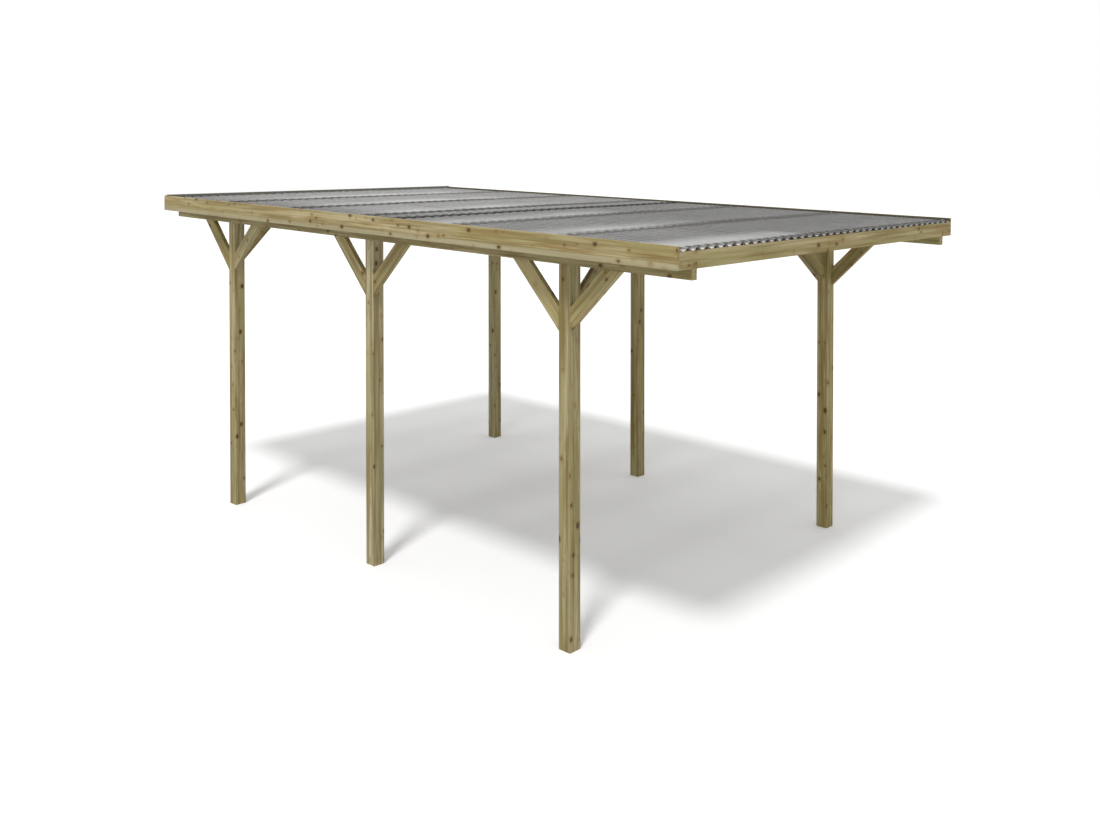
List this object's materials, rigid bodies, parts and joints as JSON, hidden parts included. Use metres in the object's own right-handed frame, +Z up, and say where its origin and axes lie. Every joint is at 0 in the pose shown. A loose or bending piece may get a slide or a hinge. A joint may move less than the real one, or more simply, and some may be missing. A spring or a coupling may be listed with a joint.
{
  "type": "timber carport",
  "caption": "Flat-roofed timber carport on square posts with diagonal braces, side boards and a corrugated translucent sheet roof that falls gently to the front.",
  "frame": {"origin": "middle of the footprint, on the ground", "axes": "+Y from the front to the rear along the carport, towards the roof's higher end, +X across it to the right as seen from the front, +Z up"},
  "size_m": [3.215, 5.5414, 2.5064],
  "materials": {
    "post_timber": "planed pine, pressure treated, pale olive",
    "beam_timber": "planed pine, pressure treated, pale olive",
    "rafter_timber": "planed pine, pressure treated, pale olive",
    "board_timber": "planed pine, pressure treated, golden olive",
    "brace_timber": "planed pine, pressure treated, pale olive",
    "roof_sheet": "corrugated plastic, translucent smoke grey, glossy"
  },
  "bodies": {
    "root": {"post_left_front": "post_timber", "post_left_middle": "post_timber", "post_left_rear": "post_timber", "post_right_front": "post_timber", "post_right_middle": "post_timber", "post_right_rear": "post_timber", "beam_left": "beam_timber", "beam_right": "beam_timber", "rafter_1": "rafter_timber", "rafter_2": "rafter_timber", "rafter_3": "rafter_timber", "rafter_4": "rafter_timber", "rafter_5": "rafter_timber", "rafter_6": "rafter_timber", "rafter_7": "rafter_timber", "side_board_left": "board_timber", "side_board_right": "board_timber", "rear_board": "board_timber", "brace_left_front_forward": "brace_timber", "brace_left_front_backward": "brace_timber", "brace_left_middle_forward": "brace_timber", "brace_left_middle_backward": "brace_timber", "brace_left_rear_forward": "brace_timber", "brace_left_rear_backward": "brace_timber", "brace_right_front_forward": "brace_timber", "brace_right_front_backward": "brace_timber", "brace_right_middle_forward": "brace_timber", "brace_right_middle_backward": "brace_timber", "brace_right_rear_forward": "brace_timber", "brace_right_rear_backward": "brace_timber", "brace_left_front_inward": "brace_timber", "brace_left_rear_inward": "brace_timber", "brace_right_front_inward": "brace_timber", "brace_right_rear_inward": "brace_timber", "roof_sheet_front_1": "roof_sheet", "roof_sheet_front_2": "roof_sheet", "roof_sheet_front_3": "roof_sheet", "roof_sheet_rear_1": "roof_sheet", "roof_sheet_rear_2": "roof_sheet", "roof_sheet_rear_3": "roof_sheet"}
  },
  "joints": []
}
